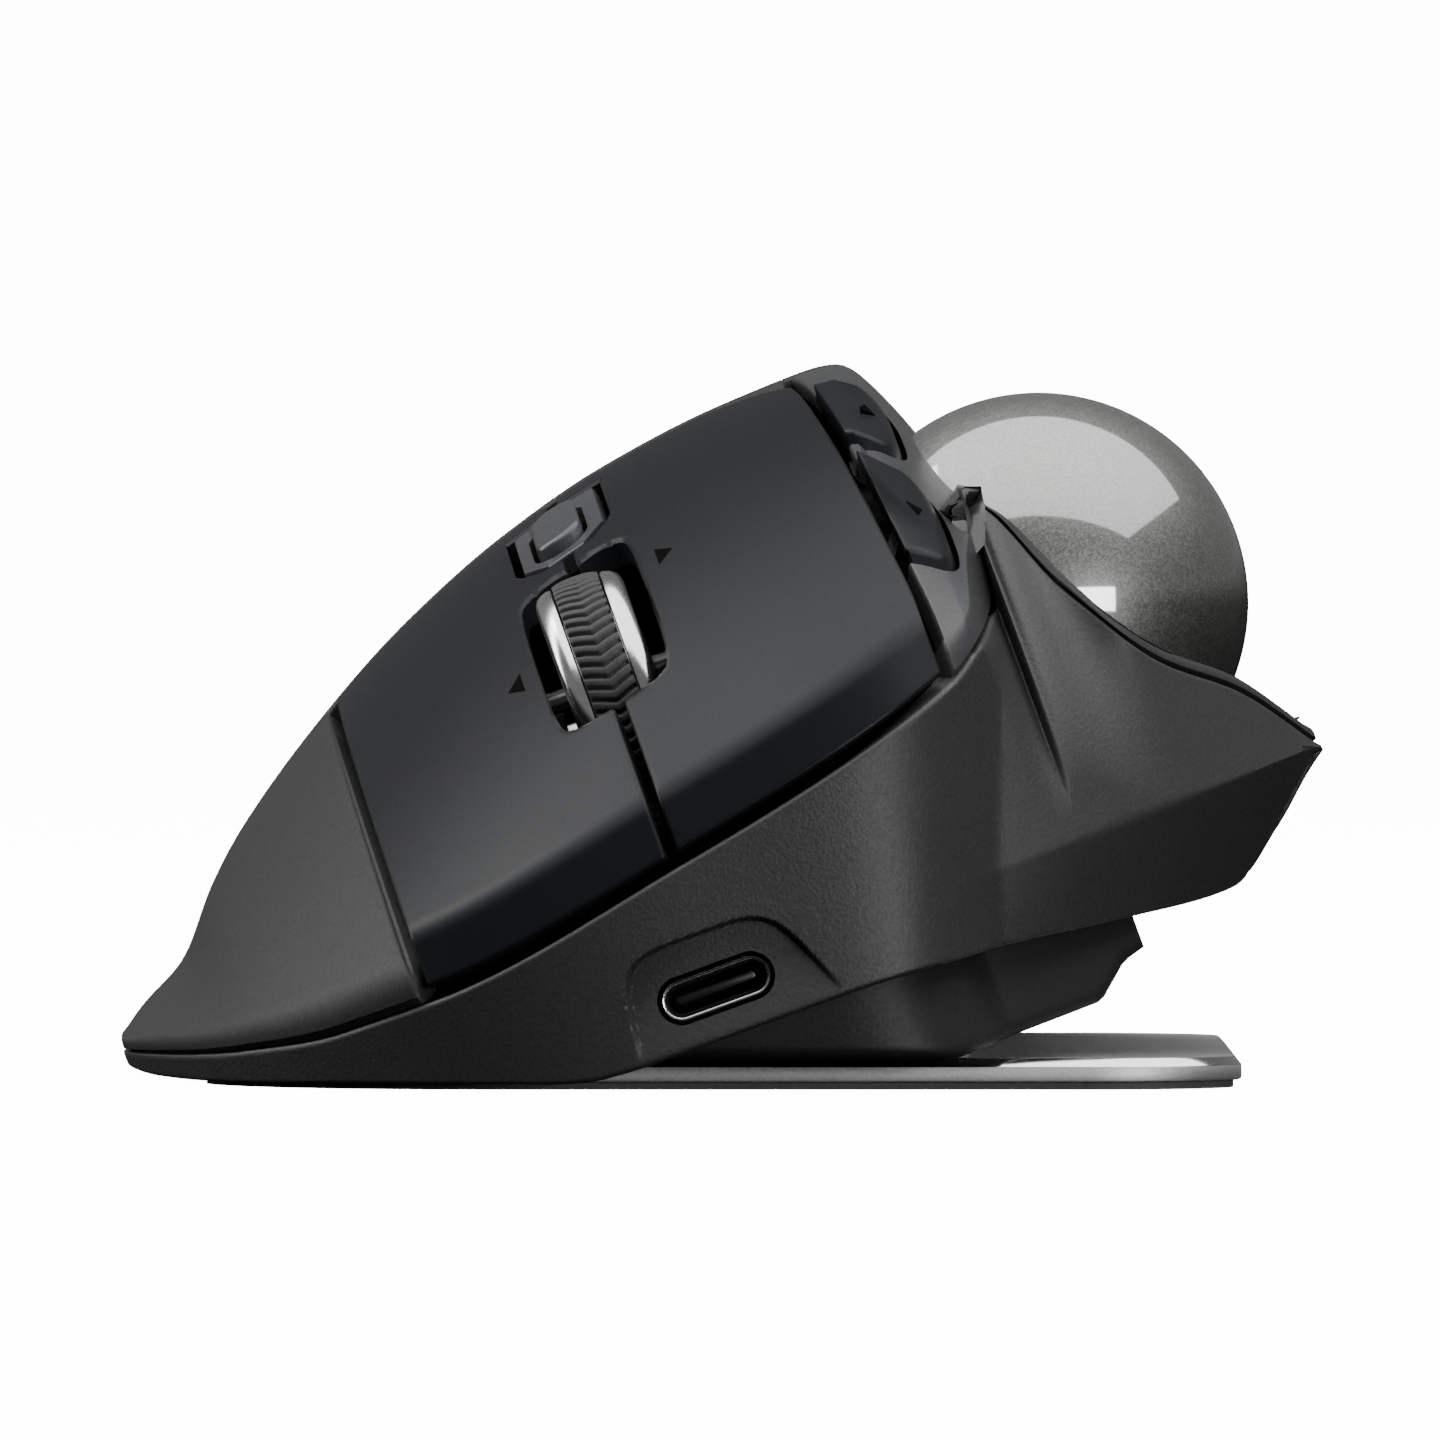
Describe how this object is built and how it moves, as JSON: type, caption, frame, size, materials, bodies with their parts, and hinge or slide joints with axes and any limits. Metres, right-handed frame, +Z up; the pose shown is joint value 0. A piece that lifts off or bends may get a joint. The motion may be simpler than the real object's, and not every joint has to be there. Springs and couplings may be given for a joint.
{
  "type": "trackball mouse",
  "caption": "Wireless thumb trackball mouse, leaning on a hinged steel tilt plate, with main and side buttons, a tilting scroll wheel and a glossy ball.",
  "frame": {"origin": "centre of the underside of the plate's rubber pad, on the desk", "axes": "+Z up, -Y toward the nose with the charging port, +X toward the thumb side with the ball"},
  "size_m": [0.0975, 0.1325, 0.0579],
  "materials": {
    "base_plate": "bead-blasted, clear coated",
    "base_pad": "matt rubber",
    "shell": "soft-touch fine grain",
    "fascia": "satin fine grain",
    "button": "smooth satin",
    "inner": "moulded",
    "ball": "glossy with metallic flake",
    "steel": "turned",
    "chrome": "polished",
    "rubber": "ribbed rubber",
    "board": "solder mask",
    "battery": "foil pouch",
    "bearing": "polished",
    "lens": "clear",
    "component": "moulded",
    "light": "frosted",
    "slider": "moulded"
  },
  "bodies": {
    "base": {"base_plate": "base_plate", "base_pad": "base_pad"},
    "housing": {"ridge_rod": "steel", "bottom_shell": "shell", "front_fascia": "fascia", "rear_fascia": "fascia", "palm_shell": "shell", "side_frame": "fascia", "thumb_rest": "shell", "ball_cup": "inner", "cup_bearings": "bearing", "inner_frame": "inner", "button_rod": "steel", "main_board": "board", "port_board": "board", "port_shell": "chrome", "port_tongue": "component", "battery": "battery", "tilt_magnets": "steel", "housing_screws": "steel", "board_screws": "steel", "sensor_board": "board", "sensor_chip": "component", "sensor_lens": "lens", "flex_cable": "component", "left_switch": "component", "right_switch": "component", "press_switch": "component", "tilt_switches": "component", "wheel_encoder": "component", "side_switches": "component", "side_switch_board": "board", "channel_panel": "fascia", "channel_switch": "component", "light_pipes": "light", "precision_switch": "component", "power_switch": "component"},
    "left_button": {"left_button": "button"},
    "right_button": {"right_button": "button"},
    "forward_button": {"forward_button": "button"},
    "back_button": {"back_button": "button"},
    "channel_button": {"channel_button": "button"},
    "precision_button": {"precision_button": "button"},
    "power_slider": {"power_slider": "slider"},
    "wheel_cradle": {"wheel_cradle": "inner"},
    "wheel_yoke": {"wheel_yoke": "inner"},
    "wheel": {"wheel_hub": "chrome", "wheel_tread": "rubber", "wheel_axle": "steel"},
    "ball": {"ball": "ball"}
  },
  "joints": [
    {"name": "body_tilt", "type": "hinge", "parent": "base", "child": "housing", "pos_m": [0.01875, 0, 0.0025], "axis": [0, 1, 0], "range_deg": [0, 20]},
    {"name": "ball_roll", "type": "hinge", "parent": "housing", "child": "ball", "pos_m": [0.02583, -0.01, 0.03849], "axis": [0, 1, 0], "continuous": true},
    {"name": "left_click", "type": "hinge", "parent": "housing", "child": "left_button", "pos_m": [-0.00706, -0.002, 0.03248], "axis": [0.9397, 0, 0.342], "range_deg": [0, 0.6], "stiffness_Nm_per_rad": 0.9, "springref_deg": -1.72},
    {"name": "right_click", "type": "hinge", "parent": "housing", "child": "right_button", "pos_m": [-0.00706, -0.002, 0.03248], "axis": [0.9397, 0, 0.342], "range_deg": [0, 0.6], "stiffness_Nm_per_rad": 0.9, "springref_deg": -1.72},
    {"name": "forward_press", "type": "slide", "parent": "housing", "child": "forward_button", "axis": [-0.2542, 0.2409, -0.9367], "range_m": [0, 0.0004], "stiffness_N_per_m": 800, "springref_m": -0.0005},
    {"name": "back_press", "type": "slide", "parent": "housing", "child": "back_button", "axis": [-0.2736, 0.3808, -0.8832], "range_m": [0, 0.0004], "stiffness_N_per_m": 800, "springref_m": -0.0005},
    {"name": "channel_press", "type": "slide", "parent": "housing", "child": "channel_button", "axis": [0.342, 0, -0.9397], "range_m": [0, 0.0004], "stiffness_N_per_m": 800, "springref_m": -0.0005},
    {"name": "precision_press", "type": "slide", "parent": "housing", "child": "precision_button", "axis": [0.342, 0, -0.9397], "range_m": [0, 0.0004], "stiffness_N_per_m": 800, "springref_m": -0.0005},
    {"name": "power_slide", "type": "slide", "parent": "housing", "child": "power_slider", "axis": [0, 1, 0], "range_m": [0, 0.002]},
    {"name": "wheel_press", "type": "slide", "parent": "housing", "child": "wheel_cradle", "axis": [0.342, 0, -0.9397], "range_m": [0, 0.0006], "stiffness_N_per_m": 1500, "springref_m": -0.0006},
    {"name": "wheel_tilt", "type": "hinge", "parent": "wheel_cradle", "child": "wheel_yoke", "pos_m": [-0.00308, -0.0378, 0.01717], "axis": [0, 1, 0], "range_deg": [-2.2, 2.2], "stiffness_Nm_per_rad": 0.6},
    {"name": "wheel_spin", "type": "hinge", "parent": "wheel_yoke", "child": "wheel", "pos_m": [-0.00756, -0.0378, 0.02948], "axis": [0.9397, 0, 0.342], "continuous": true}
  ]
}
